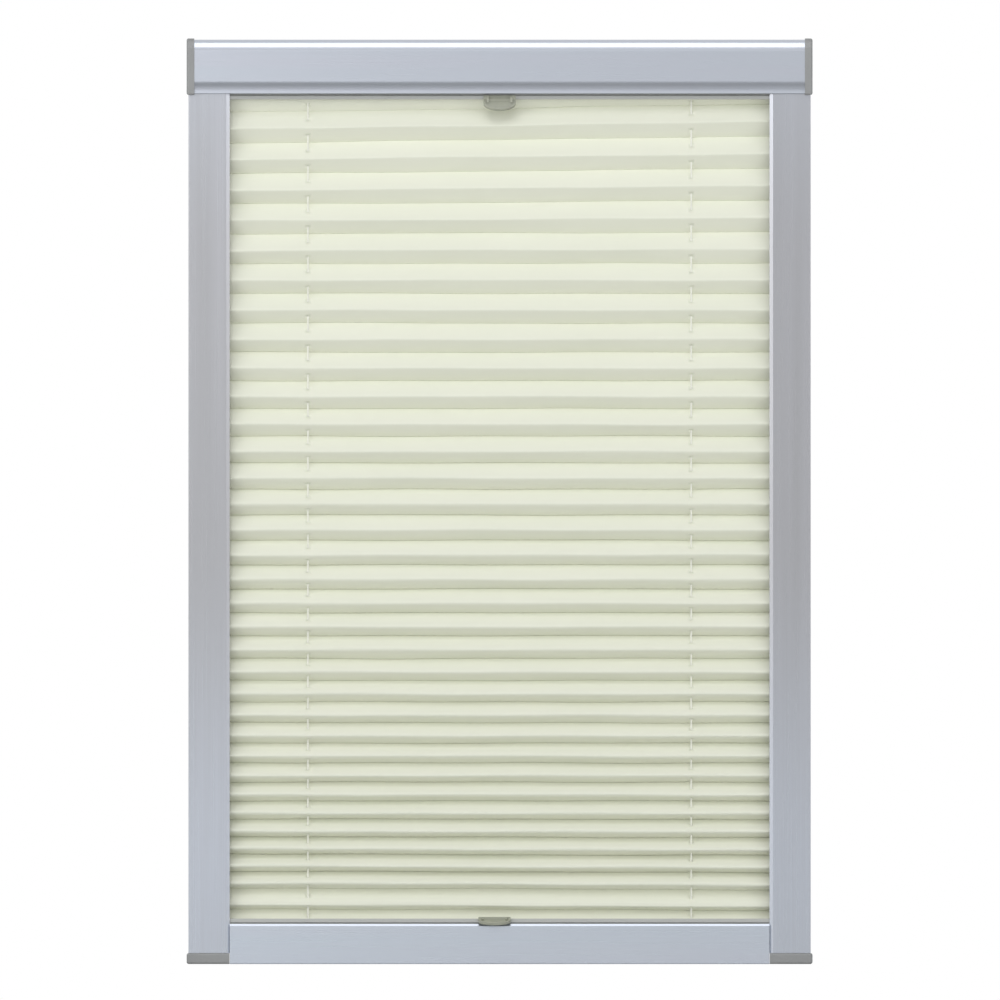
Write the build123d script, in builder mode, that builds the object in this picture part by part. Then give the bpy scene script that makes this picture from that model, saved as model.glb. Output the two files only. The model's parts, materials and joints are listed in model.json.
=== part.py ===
from build123d import *
import math
import os

# A framed pleated blind for a roof window, in millimetres.
# X runs across, the front faces -Y and Z is up. The origin is under the middle of the bottom rail,
# in the plane of the tension cords. Pieces that come in pairs are made on the right and mirrored.

# Overall size
overall_width = 614
overall_height = 908

# Clearances shared by all pieces
fit = 0.2
slide_gap = 0.3
overrun = 1

# Pleated cloth: the width of one pleat face, and how far the pleats are pulled open
pleat_width = 20
cloth_thickness = 0.3
mean_open_share = 0.6
open_spread_share = 0.287
open_wave_share = 0.017
upper_fold_hidden = 5.6
lower_fold_hidden = 6
lowest_pleat_drop = 3.9
cloth_grip = 2
cloth_side_gap = 3
cloth_hole_diameter = 2

# Moving rails: a flange as deep as the folded cloth, on a narrower body
moving_rail_depth = pleat_width
moving_rail_height = 12
moving_rail_wall = 1.2
moving_rail_round = 0.5
flange_height = 4
flange_overhang = 1.5
groove_mouth = 10
groove_height = 3.2
groove_web = 1
upper_rail_show = 5.6
lower_rail_show = 5.2

# Cloth strips, glides and bushes of the moving rails
strip_foot_width = 1.8
glide_length = 12
glide_plug_length = 8
glide_round = 1
bush_diameter = 4
bush_bore = 2
bush_flange_diameter = 7
bush_flange_thickness = 0.8

# Handles: a clip round the rail's flange, a rounded tab that slopes forwards, and two cheeks
handle_width = 31.4
lower_handle_offset = -5
clip_wall = 3
clip_plate = 1.2
clip_hook = 0.7
clip_catch = 0.6
tab_length = 13
tab_thickness = 3.2
tab_round_length = 8.5
tab_edge_round = 0.6
tab_rim = 2.2
tab_dish_depth = 1
upper_tab_root = 0.3
lower_tab_root = 0.7
upper_tab_droop = 50
lower_tab_droop = 20
cheek_width = 2.2
cheek_spread = 23.2
cheek_reach = 4.5
recess_depth = 2.2

# Side rails
rail_face_width = 37
rail_lip_width = 3.4
rail_lip_set = 1.8
rail_wall = 1.4
rail_edge_round = 0.8
rail_back_short = 7
rail_mouth_gap = 0.8
rail_back_gap = 1.6
rib_offset = 12
rib_thickness = 1.2
rib_length = 3
rail_head_room = 10

# Screw holes through the outer wall of each side rail
screw_hole_diameter = 4.2
screw_spacing = 500

# Head cassette and its end caps
head_height = 53
head_wall = 1.5
head_front_gap = 4.5
head_bevel_height = 9
head_bevel_depth = 5
head_crown_round = 9
head_brow_round = 9
head_edge_round = 0.6
cove_height = 10.7
cove_depth = 2.4
cove_shares = ((0.92, 0), (1, 0.38), (0.72, 0.72))
cove_lip_round = 0.5
cove_low_round = 16
cove_high_round = 7
cove_edge_round = 5
cap_length = 7.5
cap_wall = 1.6
cap_margin = 1.2
cap_round = 2
cap_tenon_length = 10

# Bottom rail and the foot caps of the side rails
bottom_rail_height = 39.3
bottom_bevel_height = 2
bottom_bevel_depth = 1.1
bottom_bevel_round = 0.4
bottom_back_height = 28
foot_height = 10.8
foot_margin = 1.2
foot_round = 2.4
foot_edge_round = 2.2
foot_tongue_length = 15

# Tension cords and what holds them
cord_diameter = 1.5
cord_inset = 76.8
cord_turn_radius = 5
crossing_spread = 2.5
crossing_end_gap = 1.5
guide_width = 14
guide_height = 19.6
guide_front_reach = 6
guide_cord_height = 11.6
spring_length = 40
spring_diameter = 5.1
spring_wire = 0.7
spring_turns = 9
ferrule_diameter = 4.4
ferrule_length = 7
ferrule_end = 1.5
anchor_width = 12
anchor_depth = 16
anchor_height = 12.6
anchor_floor = 2.6

# Depths, measured from the plane of the cords
rail_half = moving_rail_depth / 2
body_half = rail_half - flange_overhang
body_inside = body_half - moving_rail_wall
clip_front = -rail_half - clip_wall
rail_front = rail_half + rail_mouth_gap + rail_lip_set + rail_wall
rail_back = rail_half + rail_back_gap + rail_wall
channel_front = rail_front - rail_wall
channel_back = rail_back - rail_wall
head_front = rail_front + head_front_gap + head_wall
head_back = rail_back + fit + head_wall

# Places across the blind, on its right
half_width = overall_width / 2
head_end = half_width - cap_length
rail_outer = half_width - cap_wall - fit
rail_face_end = rail_outer - rail_face_width
rail_inner = rail_face_end - rail_lip_width
rib_inner = rail_outer - rib_offset - rib_thickness
glide_end = rib_inner - slide_gap
moving_rail_end = glide_end - glide_length
cloth_edge = moving_rail_end - cloth_side_gap
cord_offset = rail_inner - cord_inset
guide_inner = cord_offset - guide_width / 2
spring_outer = guide_inner - fit
spring_inner = spring_outer - spring_length
ferrule_outer = spring_inner - fit
ferrule_inner = ferrule_outer - ferrule_length

# Heights
head_top = overall_height - cap_margin
head_bottom = head_top - head_height
rail_top = head_top - head_wall - rail_head_room
upper_face = head_bottom - upper_rail_show
upper_rail_top = upper_face + moving_rail_height
lower_face = bottom_rail_height + lower_rail_show
lower_rail_bottom = lower_face - moving_rail_height
guide_bottom = upper_rail_top + slide_gap
cord_level = guide_bottom + guide_cord_height
cord_foot = rail_wall + anchor_floor
groove_top = moving_rail_wall + groove_height
chamber_near = groove_top + groove_web
chamber_far = moving_rail_height - moving_rail_wall
screw_middle = (foot_height + head_bottom) / 2

# Directions from a moving rail to the cloth that hangs on it
DOWN = -1
UP = 1

# Where the cords go through the cloth and the moving rails
cord_places = ((-cord_offset, 0), (cord_offset, 0))

os.makedirs("parts", exist_ok=True)


def save(part, name):
    """Labels a piece and writes it to its own file."""
    part.label = name
    export_step(part, f"parts/{name}.step")


def save_pair(part, name):
    """Writes a piece made for the right side, and its mirror image for the left side."""
    save(part, f"{name}_right")
    save(mirror(part, about=Plane.YZ), f"{name}_left")


def panel(corner, opposite, mode=Mode.ADD):
    """Draws a rectangle between two opposite corners in the open sketch."""
    middle = (Vector(*corner) + Vector(*opposite)) / 2
    with Locations((middle.X, middle.Y)):
        Rectangle(abs(opposite[0] - corner[0]), abs(opposite[1] - corner[1]), mode=mode)


def slab(x_from, x_to, corner, opposite, mode=Mode.ADD):
    """Adds a block between two places across the blind, drawn by its corners seen from the side."""
    with BuildSketch(Plane.YZ.offset(x_from)) as end:
        panel(corner, opposite)
    extrude(end.sketch, amount=x_to - x_from, mode=mode)


def bore(places, diameter, z_from, z_to):
    """Cuts upright round holes through the open part between two heights."""
    low = min(z_from, z_to) - overrun
    high = max(z_from, z_to) + overrun
    with BuildSketch(Plane.XY.offset(low)) as holes:
        with Locations(*places):
            Circle(diameter / 2)
    extrude(holes.sketch, amount=high - low, mode=Mode.SUBTRACT)


def head_front_points(inset):
    """The head's front, from its lower lip to its top, set back by the wall for the inside."""
    face = inset - head_front
    points = [
        (face + depth_share * cove_depth, head_bottom + height_share * cove_height)
        for depth_share, height_share in cove_shares
    ]
    points.append((face, head_bottom + cove_height))
    points.append((face, head_top - head_bevel_height))
    slope = head_bevel_depth / head_bevel_height
    points.append((face + slope * (head_bevel_height - inset), head_top - inset))
    return points


def head_cassette():
    """The extruded head: bevelled top edge, flat face and hollow cove, open underneath."""
    hollows = (cove_low_round, cove_high_round)
    swells = (cove_edge_round, head_brow_round, head_crown_round)
    outer = head_front_points(0)
    outer.append((head_back, head_top))
    outer.append((head_back, head_bottom))
    outer_rounds = (cove_lip_round, *hollows, *swells, head_edge_round, 0)
    inner = head_front_points(head_wall)
    inner.append((head_back - head_wall, head_top - head_wall))
    inner.append((head_back - head_wall, head_bottom - overrun))
    inner.append((inner[0][0], head_bottom - overrun))
    inner_hollows = [radius + head_wall for radius in hollows]
    inner_swells = [radius - head_wall for radius in swells]
    inner_rounds = (0, *inner_hollows, *inner_swells, 0, 0, 0)
    with BuildPart() as head:
        with BuildSketch(Plane.YZ):
            with BuildLine():
                FilletPolyline(*outer, radius=outer_rounds, close=True)
            make_face()
            with BuildLine():
                FilletPolyline(*inner, radius=inner_rounds, close=True)
            make_face(mode=Mode.SUBTRACT)
        extrude(amount=head_end, both=True)
    return head.part


def head_end_cap():
    """The moulded cap on the head's end, with a pocket for the side rail and two tenons."""
    front = head_front + cap_margin
    back = head_back + cap_margin
    bottom = head_bottom - cap_margin
    outline = (
        (-front, bottom),
        (-front, overall_height - head_bevel_height),
        (head_bevel_depth - front, overall_height),
        (back, overall_height),
        (back, bottom),
    )
    rounds = (cap_round, cap_round, head_crown_round, cap_round, cap_round)
    with BuildPart() as cap:
        with BuildSketch(Plane.YZ.offset(head_end)):
            with BuildLine():
                FilletPolyline(*outline, radius=rounds, close=True)
            make_face()
        extrude(amount=cap_length)
        fillet(cap.faces().sort_by(Axis.X)[-1].edges(), radius=cap_round)
        slab(
            head_end - overrun,
            rail_outer + fit,
            (-rail_front - fit, bottom - overrun),
            (rail_back + fit, rail_top),
            Mode.SUBTRACT,
        )
        slab(
            head_end - cap_tenon_length,
            head_end + fit,
            (head_wall + fit - head_front, head_bottom + cove_height + head_wall),
            (-rail_front - 2 * fit, head_top - head_bevel_height - head_wall),
        )
        slab(
            head_end - cap_tenon_length,
            head_end + fit,
            (-rail_half, rail_top + fit),
            (rail_half, head_top - head_wall - fit),
        )
    return cap.part


def side_rail():
    """The extruded side channel, open towards the middle, with a turned-in front lip."""
    section = (
        (rail_face_end + rail_back_short, rail_back),
        (rail_outer, rail_back),
        (rail_outer, -rail_front),
        (rail_face_end, -rail_front),
        (rail_inner, rail_lip_set - rail_front),
        (rail_inner, rail_lip_set - channel_front),
        (rail_face_end, -channel_front),
        (rail_outer - rail_wall, -channel_front),
        (rail_outer - rail_wall, channel_back),
        (rail_face_end + rail_back_short, channel_back),
    )
    rounds = (0, rail_edge_round, rail_edge_round, rail_edge_round, 0, 0, 0, 0, 0, 0)
    rib_outer = rail_outer - rib_offset
    holes = [(0, screw_middle - screw_spacing / 2), (0, screw_middle + screw_spacing / 2)]
    with BuildPart() as rail:
        with BuildSketch(Plane.XY.offset(foot_height)):
            with BuildLine():
                FilletPolyline(*section, radius=rounds, close=True)
            make_face()
            panel((rib_inner, -channel_front - fit), (rib_outer, rib_length - channel_front))
            panel((rib_inner, channel_back + fit), (rib_outer, channel_back - rib_length))
        extrude(amount=rail_top - foot_height)
        with BuildSketch(Plane.YZ.offset(rail_outer - rail_wall - overrun)):
            with Locations(*holes):
                Circle(screw_hole_diameter / 2)
        extrude(amount=rail_wall + 2 * overrun, mode=Mode.SUBTRACT)
    return rail.part


def foot_cap():
    """The moulded foot: a cap under the side rail, a tenon up into it and a tongue to the bottom rail."""
    inner = rail_inner + fit
    front = rail_front + foot_margin
    back = rail_back + foot_margin
    outline = ((inner, -front), (half_width, -front), (half_width, back), (inner, back))
    tenon_inner = rail_face_end + fit
    with BuildPart() as foot:
        with BuildSketch(Plane.XY):
            with BuildLine():
                FilletPolyline(*outline, radius=(0, foot_round, foot_round, 0), close=True)
            make_face()
        extrude(amount=foot_height)
        underside = foot.faces().sort_by(Axis.Z)[0].edges().sort_by(Axis.X)
        topside = foot.faces().sort_by(Axis.Z)[-1].edges().sort_by(Axis.X)
        fillet(underside[1:] + topside[1:], radius=foot_edge_round)
        slab(
            tenon_inner,
            rib_inner - fit,
            (fit - channel_front, foot_height - fit),
            (channel_back - fit, lower_rail_bottom - slide_gap),
        )
        slab(
            rail_inner - foot_tongue_length,
            tenon_inner + fit,
            (-rail_half, foot_height),
            (rail_half, bottom_back_height - fit),
        )
    return foot.part


def bottom_rail():
    """The extruded trough across the bottom, open on top, with a sloping front edge."""
    bevel_foot = bottom_rail_height - bottom_bevel_height
    section = (
        (rail_back, bottom_back_height),
        (rail_back, 0),
        (-rail_front, 0),
        (-rail_front, bevel_foot),
        (bottom_bevel_depth - rail_front, bottom_rail_height),
        (bottom_bevel_depth - channel_front, bottom_rail_height),
        (-channel_front, bevel_foot),
        (-channel_front, rail_wall),
        (channel_back, rail_wall),
        (channel_back, bottom_back_height),
    )
    rounds = (0, rail_edge_round, rail_edge_round, bottom_bevel_round, 0, 0, 0, 0, 0, 0)
    with BuildPart() as rail:
        with BuildSketch(Plane.YZ):
            with BuildLine():
                FilletPolyline(*section, radius=rounds, close=True)
            make_face()
        extrude(amount=rail_inner, both=True)
    return rail.part


def pleat_heights():
    """The creases' heights from the top down: wide pleats above, narrow ones below, the last one dropped."""
    top = upper_face + upper_fold_hidden
    foot = lower_face - lower_fold_hidden
    length = top - foot - 2 * lowest_pleat_drop
    faces = 2 * round(length / (2 * pleat_width * mean_open_share))
    heights = [top]
    for face in range(faces):
        angle = math.pi * (2 * face + 1) / (2 * faces)
        spread = open_spread_share * math.cos(angle) + open_wave_share * math.cos(3 * angle)
        heights.append(heights[-1] - length / faces * (1 + spread))
    heights[-3] -= lowest_pleat_drop
    heights[-2] -= lowest_pleat_drop
    heights[-1] = foot
    return heights


def pleat_creases():
    """The cloth's creases from the top down, as (depth, height, half of the cloth measured along Y)."""
    heights = pleat_heights()
    last = len(heights) - 1
    creases = []
    for fold, height in enumerate(heights):
        before = max(fold - 1, 0)
        after = min(fold + 1, last)
        rise = (heights[before] - heights[after]) / (after - before)
        reach = math.sqrt(pleat_width**2 - rise**2) / 2
        side = -1 if fold % 2 == 0 else 1
        creases.append((side * reach, height, cloth_thickness * pleat_width / (2 * rise)))
    return creases


def cut_crease(inside, outside, height):
    """Ends the cloth level at a height between its last crease and the one next to it."""
    share = (height - inside[1]) / (outside[1] - inside[1])
    depth = inside[0] + share * (outside[0] - inside[0])
    return (depth, height, outside[2])


def pleated_cloth():
    """One folded sheet from rail to rail, with a hole for each cord in every pleat face."""
    creases = pleat_creases()
    creases[0] = cut_crease(creases[1], creases[0], upper_face + cloth_grip)
    creases[-1] = cut_crease(creases[-2], creases[-1], lower_face - cloth_grip)
    front = [(depth - half, height) for depth, height, half in creases]
    back = [(depth + half, height) for depth, height, half in reversed(creases)]
    with BuildPart() as cloth:
        with BuildSketch(Plane.YZ):
            with BuildLine():
                Polyline(*front, *back, close=True)
            make_face()
        extrude(amount=cloth_edge, both=True)
        bore(cord_places, cloth_hole_diameter, 0, overall_height)
    return cloth.part


def moving_rail(face, cloth):
    """A moving rail, with a groove for the cloth at its face and a chamber for the cords behind it."""

    def level(distance):
        return face - cloth * distance

    with BuildPart() as rail:
        with BuildSketch(Plane.YZ) as section:
            panel((-body_half, level(0)), (body_half, level(moving_rail_height)))
            panel((-rail_half, level(0)), (rail_half, level(flange_height)))
            fillet(section.vertices(), radius=moving_rail_round)
            panel((-body_inside, level(moving_rail_wall)), (body_inside, level(groove_top)), Mode.SUBTRACT)
            panel((-body_inside, level(chamber_near)), (body_inside, level(chamber_far)), Mode.SUBTRACT)
            panel(
                (-groove_mouth / 2, level(-overrun)),
                (groove_mouth / 2, level(moving_rail_wall + fit)),
                Mode.SUBTRACT,
            )
        extrude(amount=moving_rail_end, both=True)
        bore(cord_places, cloth_hole_diameter, level(groove_top), level(chamber_near))
        bore(cord_places, bush_diameter + fit, level(chamber_far), level(moving_rail_height))
    return rail.part


def cloth_strip(face, cloth):
    """The strip that keeps the cloth's end in the groove, standing on two feet on the groove's lips."""

    def level(distance):
        return face - cloth * distance

    half = body_inside - fit
    with BuildPart() as strip:
        with BuildSketch(Plane.YZ):
            panel((-half, level(cloth_grip)), (half, level(groove_top - fit)))
            for side in (-1, 1):
                panel(
                    (side * half, level(moving_rail_wall)),
                    (side * (half - strip_foot_width), level(cloth_grip + fit)),
                )
        extrude(amount=cloth_edge, both=True)
        bore(cord_places, cloth_hole_diameter, level(0), level(groove_top))
    return strip.part


def glide(face, cloth):
    """The plastic end of a moving rail: a block that runs in the side channel, and a plug in the rail."""

    def level(distance):
        return face - cloth * distance

    inside = body_inside - fit
    with BuildPart() as block:
        slab(
            moving_rail_end,
            glide_end,
            (slide_gap - channel_front, level(0)),
            (channel_back - slide_gap, level(moving_rail_height)),
        )
        fillet(block.edges().filter_by(Axis.X), radius=glide_round)
        slab(
            moving_rail_end - glide_plug_length,
            moving_rail_end + fit,
            (-inside, level(chamber_near + fit)),
            (inside, level(chamber_far - fit)),
        )
    return block.part


def cord_bush(face, cloth):
    """A flanged bush that lines the cord's hole in the far wall of a moving rail."""

    def level(distance):
        return face - cloth * distance

    place = (cord_offset, 0)
    with BuildPart() as bush:
        with BuildSketch(Plane.XY.offset(level(moving_rail_height))):
            with Locations(place):
                Circle(bush_diameter / 2)
        extrude(amount=cloth * (moving_rail_wall + bush_flange_thickness))
        with BuildSketch(Plane.XY.offset(level(chamber_far))):
            with Locations(place):
                Circle(bush_flange_diameter / 2)
        extrude(amount=cloth * bush_flange_thickness)
        bore([place], bush_bore, level(moving_rail_height), level(chamber_near))
    return bush.part


def crossing_cord(face, cloth, side):
    """The level run of one cord inside a moving rail, lying on the floor of its chamber."""
    floor = min(face - cloth * chamber_near, face - cloth * chamber_far)
    half = cord_offset - bush_flange_diameter / 2 - crossing_end_gap
    with BuildPart() as run:
        with BuildSketch(Plane.YZ):
            with Locations((side * crossing_spread, floor + cord_diameter / 2 + fit)):
                Circle(cord_diameter / 2)
        extrude(amount=half, both=True)
    return run.part


def tab_outline(inset, start):
    """Draws a handle's tab, straight at its root and rounded at its tip, or the dish inside its rim."""
    side = handle_width / 2 - inset
    with BuildLine() as outline:
        tip = EllipticalCenterArc(
            (0, tab_length - tab_round_length),
            side,
            tab_round_length - inset,
            start_angle=0,
            arc_size=180,
        )
        Polyline(tip @ 1, (-side, start), (side, start), tip @ 0)
    make_face(outline.edges())


def handle(face, cloth, root, droop, offset):
    """A finger pull: a clip round the rail's flange, a dished tab that slopes forwards and its two cheeks.

    Between the cheeks of a handle whose cloth hangs down, the clip has a recess for a fingertip.
    """

    def level(distance):
        return face - cloth * distance

    sine = math.sin(math.radians(droop))
    cosine = math.cos(math.radians(droop))
    slope = Plane(
        origin=(offset, clip_front, face + root),
        x_dir=(1, 0, 0),
        z_dir=(0, sine, -cosine),
    )
    hook = clip_hook - groove_mouth / 2
    hook_end = level(moving_rail_wall + clip_catch)
    clip = (
        (clip_front, level(flange_height)),
        (-rail_half, level(flange_height)),
        (-rail_half, level(0)),
        (-groove_mouth / 2, level(0)),
        (-groove_mouth / 2, hook_end),
        (hook, hook_end),
        (hook, level(-clip_plate)),
        (clip_front, level(-clip_plate)),
    )
    cheek = (
        (clip_front, level(flange_height)),
        (clip_front, face + root),
        (clip_front - cheek_reach * cosine, face + root - cheek_reach * sine),
    )
    with BuildPart() as pull:
        with BuildSketch(slope):
            tab_outline(0, -clip_wall)
        extrude(amount=tab_thickness)
        fillet(pull.edges().filter_by(GeomType.ELLIPSE), radius=tab_edge_round)
        with BuildSketch(slope):
            tab_outline(tab_rim, 0)
        extrude(amount=tab_dish_depth, mode=Mode.SUBTRACT)
        split(bisect_by=Plane.XZ.offset(rail_half), keep=Keep.TOP)
        with BuildSketch(Plane.YZ.offset(offset - handle_width / 2)):
            with BuildLine():
                Polyline(*clip, close=True)
            make_face()
        extrude(amount=handle_width)
        for side in (-1, 1):
            with BuildSketch(Plane.YZ.offset(offset + side * cheek_spread / 2 - cheek_width / 2)) as brace:
                with BuildLine():
                    Polyline(*cheek, close=True)
                make_face()
            extrude(brace.sketch, amount=cheek_width)
        if cloth == DOWN:
            inside = (cheek_spread - cheek_width) / 2
            slab(
                offset - inside,
                offset + inside,
                (clip_front - overrun, face + root),
                (clip_front + recess_depth, level(flange_height) + overrun),
                Mode.SUBTRACT,
            )
    return pull.part


def cord_route():
    """Draws the cord's line: up from its anchor, round the guide and level to its ferrule."""
    return FilletPolyline(
        (cord_offset, 0, cord_foot),
        (cord_offset, 0, cord_level),
        (ferrule_inner + ferrule_end, 0, cord_level),
        radius=cord_turn_radius,
    )


def tension_cord():
    """One tension cord, whole, from the bottom rail to the spring in the head."""
    with BuildPart() as cord:
        with BuildLine():
            route = cord_route()
        with BuildSketch(Plane(origin=route @ 0, z_dir=route % 0)):
            Circle(cord_diameter / 2)
        sweep()
    return cord.part


def cord_guide():
    """The block on the head's back wall that turns the cord, and stops the upper rail."""
    with BuildPart() as guide:
        slab(
            guide_inner,
            guide_inner + guide_width,
            (-guide_front_reach, guide_bottom),
            (head_back - head_wall, guide_bottom + guide_height),
        )
        with BuildLine():
            route = cord_route()
        with BuildSketch(Plane(origin=route @ 0, z_dir=route % 0)):
            Circle(cord_diameter / 2 + fit)
        sweep(mode=Mode.SUBTRACT)
    return guide.part


def cord_spring():
    """The compression spring that the cord runs through, between the guide and the ferrule."""
    coil = (spring_diameter - spring_wire) / 2
    travel = spring_length - spring_wire
    with BuildPart() as spring:
        with BuildLine():
            turns = Helix(
                pitch=travel / spring_turns,
                height=travel,
                radius=coil,
                center=(spring_outer - spring_wire / 2, 0, cord_level),
                direction=(-1, 0, 0),
            )
        with BuildSketch(Plane(origin=turns @ 0, z_dir=turns % 0)):
            Circle(spring_wire / 2)
        sweep(is_frenet=True)
    return spring.part


def cord_ferrule():
    """The crimped ferrule on the cord's upper end, which the spring pushes."""
    with BuildPart() as ferrule:
        with BuildSketch(Plane.YZ.offset(ferrule_inner)):
            with Locations((0, cord_level)):
                Circle(ferrule_diameter / 2)
        extrude(amount=ferrule_length)
        with BuildSketch(Plane.YZ.offset(ferrule_inner + ferrule_end)):
            with Locations((0, cord_level)):
                Circle(cord_diameter / 2 + fit / 2)
        extrude(amount=ferrule_length, mode=Mode.SUBTRACT)
    return ferrule.part


def cord_anchor():
    """The block in the bottom rail that holds the cord's lower end."""
    with BuildPart() as anchor:
        slab(
            cord_offset - anchor_width / 2,
            cord_offset + anchor_width / 2,
            (-anchor_depth / 2, rail_wall),
            (anchor_depth / 2, rail_wall + anchor_height),
        )
        with BuildSketch(Plane.XY.offset(cord_foot)):
            with Locations((cord_offset, 0)):
                Circle(cord_diameter / 2 + fit / 2)
        extrude(amount=anchor_height, mode=Mode.SUBTRACT)
    return anchor.part


def save_moving_rail(name, face, cloth):
    """Builds one moving rail with all that rides on it, apart from its handle."""
    save(moving_rail(face, cloth), f"{name}_moving_rail")
    save(cloth_strip(face, cloth), f"{name}_cloth_strip")
    save_pair(glide(face, cloth), f"{name}_glide")
    save_pair(cord_bush(face, cloth), f"{name}_cord_bush")
    save(crossing_cord(face, cloth, -1), f"{name}_crossing_cord_front")
    save(crossing_cord(face, cloth, 1), f"{name}_crossing_cord_back")


# The fixed frame
save(head_cassette(), "head_cassette")
save_pair(head_end_cap(), "head_end_cap")
save_pair(side_rail(), "side_rail")
save_pair(foot_cap(), "foot_cap")
save(bottom_rail(), "bottom_rail")

# The cloth and its cords
save(pleated_cloth(), "pleated_cloth")
save_pair(tension_cord(), "tension_cord")
save_pair(cord_guide(), "cord_guide")
save_pair(cord_spring(), "cord_spring")
save_pair(cord_ferrule(), "cord_ferrule")
save_pair(cord_anchor(), "cord_anchor")

# The two moving rails and their handles
save_moving_rail("upper", upper_face, DOWN)
save_moving_rail("lower", lower_face, UP)
save(handle(upper_face, DOWN, upper_tab_root, upper_tab_droop, 0), "upper_handle")
save(handle(lower_face, UP, lower_tab_root, lower_tab_droop, lower_handle_offset), "lower_handle")
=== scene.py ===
"""Looks of a framed pleated blind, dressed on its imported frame.

Lengths are in metres, in the frame's own axes: X across, the front faces -Y, Z up.
"""

import json
import math

import bpy
import numpy as np
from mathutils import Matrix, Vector


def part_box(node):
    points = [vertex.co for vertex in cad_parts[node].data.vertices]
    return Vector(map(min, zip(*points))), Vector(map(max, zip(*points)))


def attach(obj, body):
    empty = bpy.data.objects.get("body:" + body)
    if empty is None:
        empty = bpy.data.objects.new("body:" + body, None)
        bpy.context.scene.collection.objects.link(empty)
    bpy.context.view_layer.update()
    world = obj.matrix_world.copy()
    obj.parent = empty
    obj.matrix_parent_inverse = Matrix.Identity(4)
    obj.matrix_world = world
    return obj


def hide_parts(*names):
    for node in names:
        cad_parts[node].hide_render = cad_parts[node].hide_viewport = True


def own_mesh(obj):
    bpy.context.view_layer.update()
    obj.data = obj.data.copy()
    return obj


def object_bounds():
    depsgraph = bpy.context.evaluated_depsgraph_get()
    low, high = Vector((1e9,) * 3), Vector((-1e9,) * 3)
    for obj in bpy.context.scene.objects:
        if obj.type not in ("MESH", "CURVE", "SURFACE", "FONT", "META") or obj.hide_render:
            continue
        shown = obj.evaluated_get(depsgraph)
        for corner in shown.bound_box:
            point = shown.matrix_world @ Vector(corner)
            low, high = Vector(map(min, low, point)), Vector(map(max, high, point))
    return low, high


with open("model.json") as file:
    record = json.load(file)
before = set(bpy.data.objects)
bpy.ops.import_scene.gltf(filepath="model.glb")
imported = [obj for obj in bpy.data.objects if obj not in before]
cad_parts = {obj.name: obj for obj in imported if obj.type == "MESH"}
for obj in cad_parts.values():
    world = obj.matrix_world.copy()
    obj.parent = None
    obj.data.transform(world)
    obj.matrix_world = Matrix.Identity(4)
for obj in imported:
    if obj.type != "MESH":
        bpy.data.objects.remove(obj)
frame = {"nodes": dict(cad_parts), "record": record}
cad_low, cad_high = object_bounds()

MM = 0.001

# The view: its middle, the width that it takes in, and how far off the camera stands
VIEW_MIDDLE_X = 0.4 * MM
VIEW_MIDDLE_Z = 455.2 * MM
VIEW_WIDTH = 981 * MM
CAMERA_DISTANCE = 3.0

# The cloth: the width of one pleat face, the cloth's thickness, how near two heights are to be one crease,
# and the angle from which an edge is shaded as sharp
PLEAT_WIDTH = 20 * MM
CLOTH_THICKNESS = 0.3 * MM
TOUCH = 0.1 * MM
SHARP_ANGLE = math.radians(60)

# How far the ends of the top and bottom creases slant, over how many creases that fades out, and the share
# of it that is left at the last crease before the lower rail
TOP_SLANT = 4.2 * MM
TOP_SLANT_FOLDS = 12
FOOT_SLANT = 1.3 * MM
FOOT_SLANT_FOLDS = 14
LAST_FOLD_SLANT_SHARE = 0.6

# How far the back creases are raised, at the top and at the bottom of the cloth
BACK_LIFT = (1.0 * MM, 2.8 * MM)

# Waves along the creases: their height, the shares of it that a crease may have, and their lengths
WAVE_HEIGHT = 0.3 * MM
WAVE_SHARES = (0.4, 1)
WAVE_LENGTHS = (0.62, 0.31, 0.17)
WAVE_SEED = 7

# How far the round front creases stand back, at the top and at the bottom of the cloth. The last one
# stays behind the clip of the lower handle, which the folded cloth comes down beside
FRONT_SETBACK = (0.3 * MM, 3.2 * MM)
LAST_SETBACK = 5.4 * MM

# How deep the back creases are pinched at the top, middle and bottom, where they are round instead, and
# how soon the pinch opens
PINCH_DEPTHS = (1.4 * MM, 3.2 * MM, -3.0 * MM)
PINCH_HEIGHT_ABOVE = 2.6 * MM
PINCH_HEIGHT_BELOW = 3.4 * MM

# How far the faces under the front creases belly out at the bottom, and how late that sets in
BELLY = 0.9
BELLY_ONSET = 3

# The cloth's mesh: rows along one pleat face, columns across, and the patch round a cord's hole
FACE_ROW_SHARES = (0, 0.015, 0.035, 0.07, 0.14, 0.3, 0.4, 0.5, 0.6, 0.7, 0.86, 0.93, 0.965, 0.985, 1)
PATCH_ROWS = (5, 9)
PATCH_COLUMNS = 4
COLUMN_STEP = 11 * MM
HOLE_RADIUS = 0.8 * MM

# In all materials: counts are the lumps of noise in a metre, and reliefs are a height and a strength.
# Most values of a noise lie in its middle range, so only that is used
NOISE_MIDDLE = (0.3, 0.7)

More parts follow.
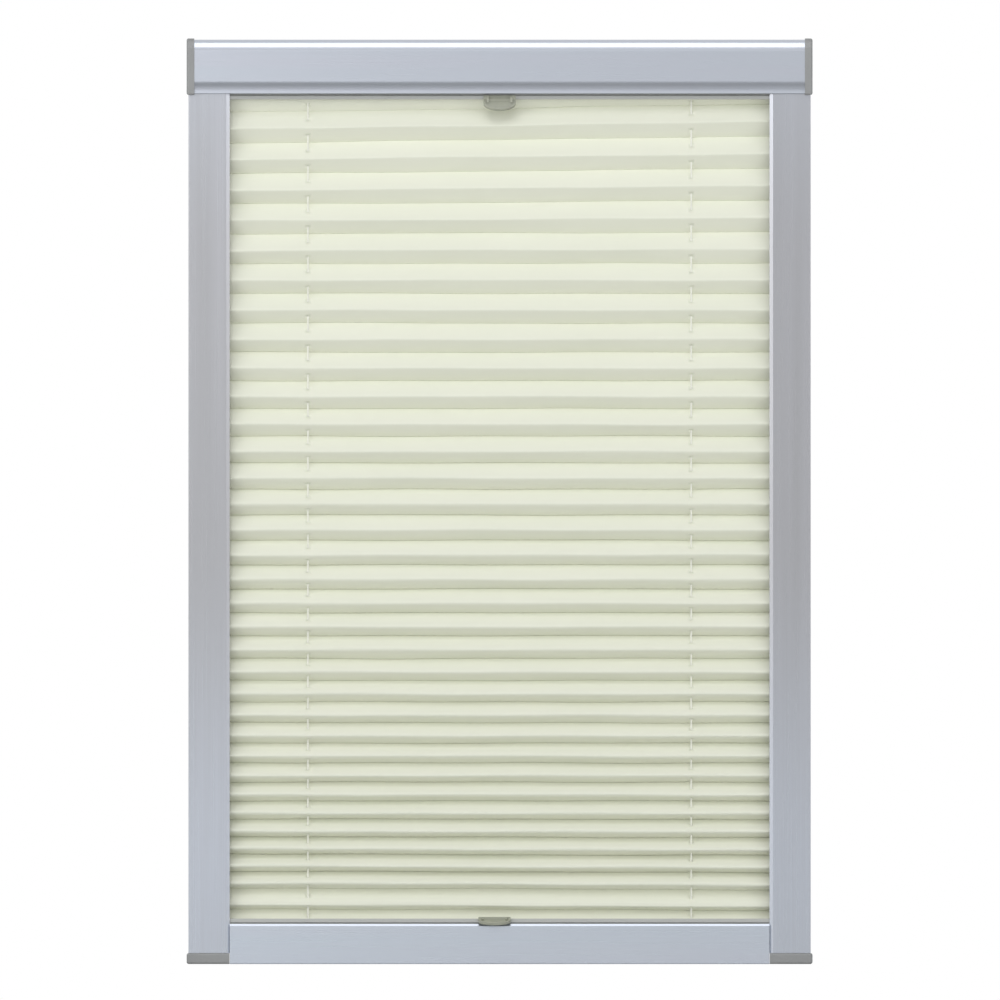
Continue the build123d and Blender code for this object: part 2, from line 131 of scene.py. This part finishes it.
# Drawn aluminium: counts across and along its streaks and lines, how dark the lines are, how much they
# show, and the roughness of the frame's extrusions
ALONG_X = (1, 0, 0)
ALONG_Z = (0, 0, 1)
STREAK_COUNTS = (55, 1.2)
LINE_COUNTS = (2600, 4)
LINE_TINT_SHARE = 0.95
LINE_SHARE = 0.25
LINE_RELIEF = (0.01 * MM, 0.15)
ANODISED_ROUGHNESS = (0.27, 0.35)
METALS = {
    # The head, foot and upright copies are one aluminium, tinted paler or darker as painted light and shade
    "head_painted_light_aluminium": {"along": ALONG_X, "tints": ((0.49, 0.53, 0.59), (0.505, 0.525, 0.59))},
    "foot_painted_light_aluminium": {"along": ALONG_X, "tints": ((0.55, 0.60, 0.675), (0.565, 0.595, 0.67))},
    "upright_painted_shade_aluminium": {
        "along": ALONG_Z,
        "tints": ((0.405, 0.41, 0.43), (0.45, 0.455, 0.485)),
        # Painted light: the uprights turn to this paler tint towards their ends, with painted shade at the
        # middle
        "painted_light_ends": (0.52, 0.555, 0.625),
    },
    "rail_aluminium": {
        "along": ALONG_X,
        "tints": ((0.48, 0.49, 0.475), (0.52, 0.53, 0.51)),
        "metallic": 0.25,
        "rough": (0.42, 0.5),
    },
}

# Pieces of the frame_aluminium slot, each with a copy of the metal that has its lines, and its tints as
# painted light and shade
FRAME_METALS = {
    "head_cassette": "head_painted_light_aluminium",
    "bottom_rail": "foot_painted_light_aluminium",
    "side_rail_left": "upright_painted_shade_aluminium",
    "side_rail_right": "upright_painted_shade_aluminium",
}

# Painted shade on the uprights: the height where it is darkest, how far from it they turn paler, and where
# palest
PAINTED_SHADE_MIDDLE = 560 * MM
PAINTED_LIGHT_FROM = 120 * MM
PAINTED_LIGHT_TO = 500 * MM

# Moulded plastics
PLASTICS = {
    "cap_plastic": {
        "tints": ((0.275, 0.28, 0.282), (0.305, 0.31, 0.31)),
        "patch_count": 25,
        "grain_count": 1500,
        "rough": (0.44, 0.56),
        "relief": (0.05 * MM, 0.4),
    },
    "inner_plastic": {
        "tints": ((0.66, 0.66, 0.65), (0.72, 0.72, 0.70)),
        "patch_count": 25,
        "grain_count": 900,
        "rough": (0.39, 0.51),
        "relief": (0.05 * MM, 0.4),
    },
    "handle_plastic": {
        "tints": ((0.34, 0.35, 0.285), (0.38, 0.39, 0.315)),
        "patch_count": 120,
        "grain_count": 2500,
        "rough": (0.26, 0.36),
        "relief": (0.02 * MM, 0.3),
    },
}

# The cloth's weave. Its counts are across the sheet and along it
CLOTH_TINTS = ((0.82, 0.835, 0.715), (0.835, 0.845, 0.73))
CLOTH_PATCH_COUNTS = (9, 9, 1)
SLUB_TINT = (0.785, 0.80, 0.675)
SLUB_COUNTS = (60, 1800, 1)
SLUB_SHARE = 0.35
WEAVE_COUNTS = (2200, 2200, 1)
WEAVE_RELIEF = (0.06 * MM, 0.5)

# Cords and springs
CORD_TINTS = ((0.85, 0.855, 0.78), (0.90, 0.90, 0.83))
STRAND_COUNTS = (900, 900, 500)
STRAND_RELIEF = (0.1 * MM, 0.6)
STEEL_TINTS = ((0.48, 0.48, 0.49), (0.60, 0.60, 0.61))
STEEL_MARK_COUNT = 400
STEEL_ROUGHNESS = (0.22, 0.36)

# The world's light, where 1 is a white card in plain light: its level from the front and back, its level
# from the sides, and how far a direction must face forward or back before it leaves the side level
WORLD_COLOUR = (0.98, 0.99, 1, 1)
WORLD_FRONT_LEVEL = 1.5
WORLD_SIDE_LEVEL = 0.35
WORLD_FRONT_FROM = 0.6

# Soft boxes. The crown card is only mirrored, in the round top edge of the cassette, and the key light
# only lights
LIT_POINT = (0, 0, 0.45)
SOFT_BOXES = {
    "left_light": {"place": (-3.3, -2.8, 1.6), "size": (2.4, 2.0), "level": 2.0},
    "right_light": {"place": (3.3, -2.8, 1.6), "size": (1.6, 2.0), "level": 1.6},
    "left_card": {"place": (-0.85, -3.6, 0.9), "size": (0.6, 1.7), "level": 1.44},
    "crown_card": {
        "place": (0, -1.35, 3.5),
        "size": (2.0, 1.3),
        "level": 1.8,
        "target": (0, 0, 0.5),
        "lights": False,
    },
    "key_light": {"place": (-0.3, -2.6, 3.2), "size": (2.2, 1.2), "level": 2.9, "mirrored": False},
}

# The floor: half its side, and how far under the blind it lies
FLOOR_HALF = 8.0
FLOOR_GAP = 0.2 * MM
FLOOR_COLOUR = (0.77, 0.77, 0.76, 1)


# Places read from the frame

upper_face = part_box("upper_moving_rail")[0].z
lower_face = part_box("lower_moving_rail")[1].z
cloth_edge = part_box("pleated_cloth")[1].x
cord_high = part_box("tension_cord_right")[1]
cord_radius = cord_high.y
cord_offset = cord_high.x - cord_radius
cord_columns = (-cord_offset, cord_offset)


# Material helpers


def new_material(name):
    """A material with its node tree and its Principled shader."""
    material = bpy.data.materials.new(name)
    material.use_nodes = True
    tree = material.node_tree
    return material, tree, tree.nodes["Principled BSDF"]


def set_shader(shader, **values):
    """Sets plain values on the shader's own sockets; an underscore stands for a space."""
    for name, value in values.items():
        shader.inputs[name.replace("_", " ")].default_value = value


def coordinate(tree, source, axis):
    """One coordinate of the place that is shaded."""
    place = tree.nodes.new("ShaderNodeTexCoord")
    parts = tree.nodes.new("ShaderNodeSeparateXYZ")
    tree.links.new(place.outputs[source], parts.inputs["Vector"])
    return parts.outputs[axis]


def calculated(tree, operation, *values):
    """A number worked out from plain numbers or sockets."""
    step = tree.nodes.new("ShaderNodeMath")
    step.operation = operation
    for socket, value in zip(step.inputs, values):
        if isinstance(value, float):
            socket.default_value = value
        else:
            tree.links.new(value, socket)
    return step.outputs["Value"]


def ranged(tree, value, start, end, smooth=False):
    """Carries a value over from one range to another."""
    step = tree.nodes.new("ShaderNodeMapRange")
    if smooth:
        step.interpolation_type = "SMOOTHSTEP"
    limits = {"From Min": start[0], "From Max": start[1], "To Min": end[0], "To Max": end[1]}
    for name, limit in limits.items():
        step.inputs[name].default_value = limit
    tree.links.new(value, step.inputs["Value"])
    return step.outputs["Result"]


def noise(tree, counts, detail, source="Object"):
    """Noise with so many lumps a metre along each axis."""
    place = tree.nodes.new("ShaderNodeTexCoord")
    stretch = tree.nodes.new("ShaderNodeMapping")
    stretch.inputs["Scale"].default_value = counts
    tree.links.new(place.outputs[source], stretch.inputs["Vector"])
    pattern = tree.nodes.new("ShaderNodeTexNoise")
    pattern.inputs["Scale"].default_value = 1
    pattern.inputs["Detail"].default_value = detail
    tree.links.new(stretch.outputs["Vector"], pattern.inputs["Vector"])
    return pattern.outputs["Fac"]


def between(tree, pattern, low, high):
    """A number that goes from low to high over the middle of a pattern."""
    return ranged(tree, pattern, NOISE_MIDDLE, (low, high))


def mixed(tree, share, first, second):
    """A colour between two colours or colour sockets."""
    mix = tree.nodes.new("ShaderNodeMix")
    mix.data_type = "RGBA"
    tree.links.new(share, mix.inputs["Factor"])
    for name, colour in (("A", first), ("B", second)):
        socket = next(s for s in mix.inputs if s.name == name and s.type == "RGBA")
        if isinstance(colour, tuple):
            socket.default_value = (*colour, 1)
        else:
            tree.links.new(colour, socket)
    return next(s for s in mix.outputs if s.type == "RGBA")


def bump(tree, shader, height, relief):
    """Raises the shader's surface by a pattern."""
    raised = tree.nodes.new("ShaderNodeBump")
    raised.inputs["Distance"].default_value, raised.inputs["Strength"].default_value = relief
    tree.links.new(height, raised.inputs["Height"])
    tree.links.new(raised.outputs["Normal"], shader.inputs["Normal"])


def line_counts(along, fine, slow):
    """Noise counts for lines that run along one axis: fine across them, slow along them."""
    return tuple(slow if part else fine for part in along)


def painted_light_share(tree):
    """How much painted light an upright gets: 0 at its painted-dark middle, 1 at its ends."""
    apart = calculated(tree, "SUBTRACT", coordinate(tree, "Object", "Z"), PAINTED_SHADE_MIDDLE)
    far = calculated(tree, "ABSOLUTE", apart)
    return ranged(tree, far, (PAINTED_LIGHT_FROM, PAINTED_LIGHT_TO), (0, 1), smooth=True)


# Materials


def drawn_aluminium(name, along, tints, metallic=1.0, rough=ANODISED_ROUGHNESS, painted_light_ends=None):
    """Satin aluminium: two near tints in long soft streaks, fine lines along it, and painted light on its
    ends if given.
    """
    material, tree, shader = new_material(name)
    set_shader(shader, Metallic=metallic)
    streaks = between(tree, noise(tree, line_counts(along, *STREAK_COUNTS), 1), 0, 1)
    lines = noise(tree, line_counts(along, *LINE_COUNTS), 2)
    tint = mixed(tree, streaks, *tints)
    # Painted light and shade: paler towards the ends, darker at the middle
    if painted_light_ends:
        tint = mixed(tree, painted_light_share(tree), tint, painted_light_ends)
    darker = tuple(LINE_TINT_SHARE * part for part in tints[0])
    lined = mixed(tree, between(tree, lines, 0, LINE_SHARE), tint, darker)
    tree.links.new(lined, shader.inputs["Base Color"])
    tree.links.new(between(tree, lines, *rough), shader.inputs["Roughness"])
    bump(tree, shader, lines, LINE_RELIEF)
    return material


def moulded_plastic(name, tints, patch_count, grain_count, rough, relief):
    """Moulded plastic with a fine grain and a little variation in its colour."""
    material, tree, shader = new_material(name)
    patches = noise(tree, 3 * (patch_count,), 2)
    grains = noise(tree, 3 * (grain_count,), 1)
    tree.links.new(mixed(tree, between(tree, patches, 0, 1), *tints), shader.inputs["Base Color"])
    tree.links.new(between(tree, grains, *rough), shader.inputs["Roughness"])
    bump(tree, shader, grains, relief)
    return material


def pleated_fabric():
    """Cream woven polyester: a fine weave, slubs across the sheet and a faint sheen."""
    material, tree, shader = new_material("pleated_fabric")
    set_shader(shader, Roughness=0.85, Sheen_Weight=0.1, Sheen_Roughness=0.5)
    slubs = noise(tree, SLUB_COUNTS, 3, "UV")
    patches = noise(tree, CLOTH_PATCH_COUNTS, 2, "UV")
    base = mixed(tree, between(tree, patches, 0, 1), *CLOTH_TINTS)
    lined = mixed(tree, between(tree, slubs, 0, SLUB_SHARE), base, SLUB_TINT)
    tree.links.new(lined, shader.inputs["Base Color"])
    bump(tree, shader, noise(tree, WEAVE_COUNTS, 1, "UV"), WEAVE_RELIEF)
    return material


def braided_cord():
    """Pale braided cord: its strands as short ridges along it."""
    material, tree, shader = new_material("cord")
    set_shader(shader, Roughness=0.7, Sheen_Weight=0.2)
    strands = noise(tree, STRAND_COUNTS, 1)
    tree.links.new(mixed(tree, between(tree, strands, 0, 1), *CORD_TINTS), shader.inputs["Base Color"])
    bump(tree, shader, strands, STRAND_RELIEF)
    return material


def spring_steel():
    """Bright drawn wire with faint marks."""
    material, tree, shader = new_material("spring_steel")
    set_shader(shader, Metallic=1)
    marks = noise(tree, 3 * (STEEL_MARK_COUNT,), 2)
    tree.links.new(mixed(tree, between(tree, marks, 0, 1), *STEEL_TINTS), shader.inputs["Base Color"])
    tree.links.new(between(tree, marks, *STEEL_ROUGHNESS), shader.inputs["Roughness"])
    return material


# The cloth


def cad_creases():
    """The depth and height of each crease of the CAD cloth, from the top down, read at its right edge."""
    places = [vertex.co for vertex in frame["nodes"]["pleated_cloth"].data.vertices]
    edge = sorted((place.z, place.y) for place in places if place.x > cloth_edge - TOUCH)
    levels = []
    for height, depth in reversed(edge):
        if not levels or levels[-1][0] - height > TOUCH:
            levels.append((height, []))
        levels[-1][1].append(depth)
    depths = np.array([(min(found) + max(found)) / 2 for _, found in levels])
    return depths, np.array([height for height, _ in levels])


def column_places():
    """Places of the mesh columns, with the hole patches' own columns round each cord."""
    patch = 2 * (FACE_ROW_SHARES[PATCH_ROWS[1]] - 0.5) * PLEAT_WIDTH / PATCH_COLUMNS
    inner = (np.arange(PATCH_COLUMNS + 1) - PATCH_COLUMNS / 2) * patch
    places = []
    start = -cloth_edge
    for cord in cord_columns:
        end = cord + inner[0]
        count = max(1, round((end - start) / COLUMN_STEP))
        places.extend(np.linspace(start, end, count, endpoint=False))
        places.extend(cord + inner[:-1])
        start = cord + inner[-1]
    count = max(1, round((cloth_edge - start) / COLUMN_STEP))
    places.extend(np.linspace(start, cloth_edge, count + 1))
    return np.array(places)


def slant(folds):
    """How far the creases' right ends stand above their middles: the upper and the lower pleats slant."""
    fold = np.arange(folds + 1)
    top = TOP_SLANT * np.clip((TOP_SLANT_FOLDS - fold) / (TOP_SLANT_FOLDS - 1), 0, 1)
    foot = FOOT_SLANT * np.clip((fold - folds + FOOT_SLANT_FOLDS) / FOOT_SLANT_FOLDS, 0, 1)
    foot[-2] *= LAST_FOLD_SLANT_SHARE
    return top - foot


def face_reach(heights):
    """How far each crease's faces reach in depth, from how far they rise."""
    rise = np.zeros_like(heights)
    rise[1:-1] = (heights[:-2] - heights[2:]) / 2
    return np.sqrt(PLEAT_WIDTH**2 - rise**2)


def down_the_cloth(values, fold, folds):
    """A value that goes evenly from the cloth's top to its bottom, through values at even steps."""
    return np.interp(fold / folds, np.linspace(0, 1, len(values)), values)


def hung_creases(columns, middle_fold):
    """The creases' depths and heights at each column, as the cloth hangs. Its back creases are raised."""
    even_depths, even_heights = cad_creases()
    folds = len(even_heights) - 1
    draws = np.random.default_rng(WAVE_SEED)
    shift = slant(folds)[:, None] * (columns / cloth_edge)[None, :]
    for length in WAVE_LENGTHS:
        phase = draws.uniform(0, 2 * np.pi, folds + 1)[:, None]
        height = WAVE_HEIGHT * draws.uniform(*WAVE_SHARES, folds + 1)[:, None]
        shift += height * np.sin(2 * np.pi * columns[None, :] / length + phase)
    shift[[0, middle_fold, -1]] = 0
    heights = even_heights[:, None] + shift
    depths = even_depths[:, None] * face_reach(heights) / face_reach(even_heights)[:, None]
    back_folds = np.arange(1, folds, 2)
    lift = np.array([down_the_cloth(BACK_LIFT, fold, folds) for fold in back_folds])
    lift[back_folds == middle_fold] = 0
    heights[back_folds] += lift[:, None]
    return depths, heights


def face_rows(front, back, setback, pinch, belly):
    """Points along one pleat face, from its front crease to its back one. Both creases are (depth, height).

    The front crease is round, the face may belly out, and the back crease is pinched into a narrow slit
    that has a depth and a height in which it opens.
    """
    shares = np.array(FACE_ROW_SHARES)[:, None]
    rise = np.abs(back[1] - front[1])
    pinch_depth, pinch_height = pinch
    reach = back[0] - front[0] - pinch_depth
    bend = np.hypot(reach * shares ** (1 + belly), setback)
    slit = pinch_depth * np.expm1(shares * rise / pinch_height) / np.expm1(rise / pinch_height)
    depth = front[0] + bend - (bend[-1] - reach) * shares + slit
    return depth, front[1] + shares * (back[1] - front[1])


def front_setback(front, folds):
    """How far one front crease stands back. The creases at the two rails don't."""
    if front in (0, folds):
        return 0
    if front == folds - 2:
        return LAST_SETBACK
    return down_the_cloth(FRONT_SETBACK, front, folds)


def cloth_rows(depths, heights, first, last):
    """All rows of points between two creases, as arrays of depth and height."""
    folds = len(heights) - 1
    rows = []
    for fold in range(first, last):
        goes_back = fold % 2 == 0
        front, back = (fold, fold + 1) if goes_back else (fold + 1, fold)
        pinch_height = PINCH_HEIGHT_ABOVE if goes_back else PINCH_HEIGHT_BELOW
        depth, height = face_rows(
            (depths[front], heights[front]),
            (depths[back], heights[back]),
            front_setback(front, folds),
            (down_the_cloth(PINCH_DEPTHS, back, folds), pinch_height),
            BELLY * (fold / folds) ** BELLY_ONSET if goes_back else 0,
        )
        if not goes_back:
            depth, height = depth[::-1], height[::-1]
        skip = 0 if fold == first else 1
        rows.append((depth[skip:], height[skip:]))
    return np.concatenate([d for d, _ in rows]), np.concatenate([h for _, h in rows])


def patch_border(row, column):
    """The grid places round a hole's patch, in order."""
    tall = PATCH_ROWS[1] - PATCH_ROWS[0]
    wide = PATCH_COLUMNS
    border = [(row, column + i) for i in range(wide)]
    border += [(row + i, column + wide) for i in range(tall)]
    border += [(row + tall, column + wide - i) for i in range(wide)]
    border += [(row + tall - i, column) for i in range(tall)]
    return border


def hole_ring(points, middle, border):
    """Points on a round hole, in the same directions from its middle as the patch's border."""
    ring = []
    for place in border:
        way = points[place] - points[middle]
        ring.append(points[middle] + way * HOLE_RADIUS / np.linalg.norm(way))
    return ring


def cloth_mesh(name, columns, depths, heights, first, last):
    """A mesh of the cloth from one crease to another, with a hole for each cord in every face."""
    depth, height = cloth_rows(depths, heights, first, last)
    points = np.stack([np.broadcast_to(columns, depth.shape), depth, height], axis=-1)
    rows, wide = depth.shape
    face_step = len(FACE_ROW_SHARES) - 1
    patch_at = [int(np.argmin(np.abs(columns - cord))) - PATCH_COLUMNS // 2 for cord in cord_columns]
    quads = []
    for row in range(rows - 1):
        in_rows = PATCH_ROWS[0] <= row % face_step < PATCH_ROWS[1]
        for column in range(wide - 1):
            if in_rows and any(at <= column < at + PATCH_COLUMNS for at in patch_at):
                continue
            quads.append([(row, column), (row + 1, column), (row + 1, column + 1), (row, column + 1)])
    index = {}
    vertices = []

    def grid_vertex(place):
        if place not in index:
            index[place] = len(vertices)
            vertices.append(points[place])
        return index[place]

    faces = [[grid_vertex(place) for place in quad] for quad in quads]
    for face in range(last - first):
        row = face * face_step + PATCH_ROWS[0]
        for at in patch_at:
            border = patch_border(row, at)
            middle = (row + (PATCH_ROWS[1] - PATCH_ROWS[0]) // 2, at + PATCH_COLUMNS // 2)
            start = len(vertices)
            vertices.extend(hole_ring(points, middle, border))
            for i, place in enumerate(border):
                after = (i + 1) % len(border)
                pair = (grid_vertex(border[after]), grid_vertex(place))
                faces.append([*pair, start + i, start + after])
    mesh = bpy.data.meshes.new(name)
    mesh.from_pydata([tuple(v) for v in vertices], [], faces)
    mesh.validate()
    return mesh, points


def lay_flat_map(mesh, points):
    """A UV map of the cloth laid flat, in metres: across, and along from its top. Returns its length."""
    line = points[:, 0, :]
    steps = np.linalg.norm(np.diff(line, axis=0), axis=1)
    along = np.concatenate([[0], np.cumsum(steps)])
    by_height = line[::-1, 2]
    flat = mesh.uv_layers.new(name="cloth")
    for loop in mesh.loops:
        place = mesh.vertices[loop.vertex_index].co
        length = np.interp(place.z, by_height, along[::-1])
        flat.data[loop.index].uv = (place.x, length)
    return along[-1]


def cloth_half(name, columns, creases, folds, material):
    """One half of the cloth, from a moving rail to the middle crease, attached to the frame."""
    depths, heights = creases
    first, last = folds
    mesh, points = cloth_mesh(name, columns, depths, heights, first, last)
    length = lay_flat_map(mesh, points)
    mesh.shade_smooth()
    mesh.set_sharp_from_angle(angle=SHARP_ANGLE)
    mesh.materials.append(material)
    piece = bpy.data.objects.new(name, mesh)
    bpy.context.scene.collection.objects.link(piece)
    thick = piece.modifiers.new("thickness", "SOLIDIFY")
    thick.thickness = CLOTH_THICKNESS
    thick.offset = 0
    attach(piece, "frame")
    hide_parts("pleated_cloth")
    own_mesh(piece)


def pleated_cloth(material):
    """The folded sheet, in two halves that meet at the crease nearest the middle."""
    columns = column_places()
    level = cad_creases()[1]
    middle_fold = int(np.argmin(np.abs(level - (upper_face + lower_face) / 2)))
    creases = hung_creases(columns, middle_fold)
    last = len(level) - 1
    cloth_half("cloth_upper", columns, creases, (0, middle_fold), material)
    cloth_half("cloth_lower", columns, creases, (middle_fold, last), material)


# The frame's own pieces


def dress_frame():
    """Gives every solid of the frame the finish of its material slot, the frame's aluminium pieces a copy
    with painted light and shade in its tints, and returns all finishes by name.
    """
    finishes = {
        "cord": braided_cord(),
        "spring_steel": spring_steel(),
        "pleated_fabric": pleated_fabric(),
    }
    for name, look in PLASTICS.items():
        finishes[name] = moulded_plastic(name, **look)
    for name, look in METALS.items():
        finishes[name] = drawn_aluminium(name, **look)
    for part in frame["record"]["subparts"]:
        node = part["node"]
        mesh = frame["nodes"][node].data
        mesh.materials.clear()
        mesh.materials.append(finishes[FRAME_METALS.get(node, part["material_slot"])])
    return finishes


# The studio


def white_world():
    """Soft light, most of it from front and back, and white for what is seen, mirrored or looked through."""
    world = bpy.data.worlds.new("studio")
    bpy.context.scene.world = world
    world.use_nodes = True
    tree = world.node_tree
    light = tree.nodes["Background"]
    light.inputs["Color"].default_value = WORLD_COLOUR
    either_way = calculated(tree, "ABSOLUTE", coordinate(tree, "Generated", "Y"))
    level = ranged(tree, either_way, (WORLD_FRONT_FROM, 1), (WORLD_SIDE_LEVEL, WORLD_FRONT_LEVEL))
    tree.links.new(level, light.inputs["Strength"])
    white = tree.nodes.new("ShaderNodeBackground")
    white.inputs["Color"].default_value = (1, 1, 1, 1)
    white.inputs["Strength"].default_value = 1
    path = tree.nodes.new("ShaderNodeLightPath")
    seen = path.outputs["Is Camera Ray"]
    for name in ("Is Glossy Ray", "Is Transmission Ray"):
        seen = calculated(tree, "MAXIMUM", seen, path.outputs[name])
    mix = tree.nodes.new("ShaderNodeMixShader")
    tree.links.new(seen, mix.inputs["Fac"])
    tree.links.new(light.outputs["Background"], mix.inputs[1])
    tree.links.new(white.outputs["Background"], mix.inputs[2])
    tree.links.new(mix.outputs["Shader"], tree.nodes["World Output"].inputs["Surface"])


def soft_light(name, place, size, level, target=LIT_POINT, lights=True, mirrored=True):
    """A rectangular soft box of an even brightness, aimed at a point. It lights, is mirrored, or both."""
    data = bpy.data.lights.new(name, "AREA")
    data.shape = "RECTANGLE"
    data.size, data.size_y = size
    data.energy = level * math.pi * size[0] * size[1]
    light = bpy.data.objects.new(name, data)
    light.location = place
    light.rotation_mode = "QUATERNION"
    light.rotation_quaternion = (Vector(target) - Vector(place)).to_track_quat("-Z", "Y")
    light.visible_diffuse = lights
    light.visible_glossy = mirrored
    bpy.context.scene.collection.objects.link(light)


def pale_floor():
    """A large pale floor just under the blind."""
    level = cad_low.z - FLOOR_GAP
    ways = ((-1, -1), (1, -1), (1, 1), (-1, 1))
    corners = [(x * FLOOR_HALF, y * FLOOR_HALF, level) for x, y in ways]
    mesh = bpy.data.meshes.new("floor")
    mesh.from_pydata(corners, [], [(0, 1, 2, 3)])
    material, _, shader = new_material("floor")
    set_shader(shader, Roughness=0.9, Base_Color=FLOOR_COLOUR)
    mesh.materials.append(material)
    floor = bpy.data.objects.new("floor", mesh)
    bpy.context.scene.collection.objects.link(floor)


def front_camera():
    """A camera straight in front, without perspective."""
    data = bpy.data.cameras.new("camera")
    data.type = "ORTHO"
    data.ortho_scale = VIEW_WIDTH
    camera = bpy.data.objects.new("camera", data)
    camera.location = (VIEW_MIDDLE_X, -CAMERA_DISTANCE, VIEW_MIDDLE_Z)
    camera.rotation_euler = (math.pi / 2, 0, 0)
    bpy.context.scene.collection.objects.link(camera)
    bpy.context.scene.camera = camera


finishes = dress_frame()
pleated_cloth(finishes["pleated_fabric"])
white_world()
for box_name, box in SOFT_BOXES.items():
    soft_light(box_name, **box)
pale_floor()
front_camera()
bpy.context.scene.view_settings.view_transform = "Standard"
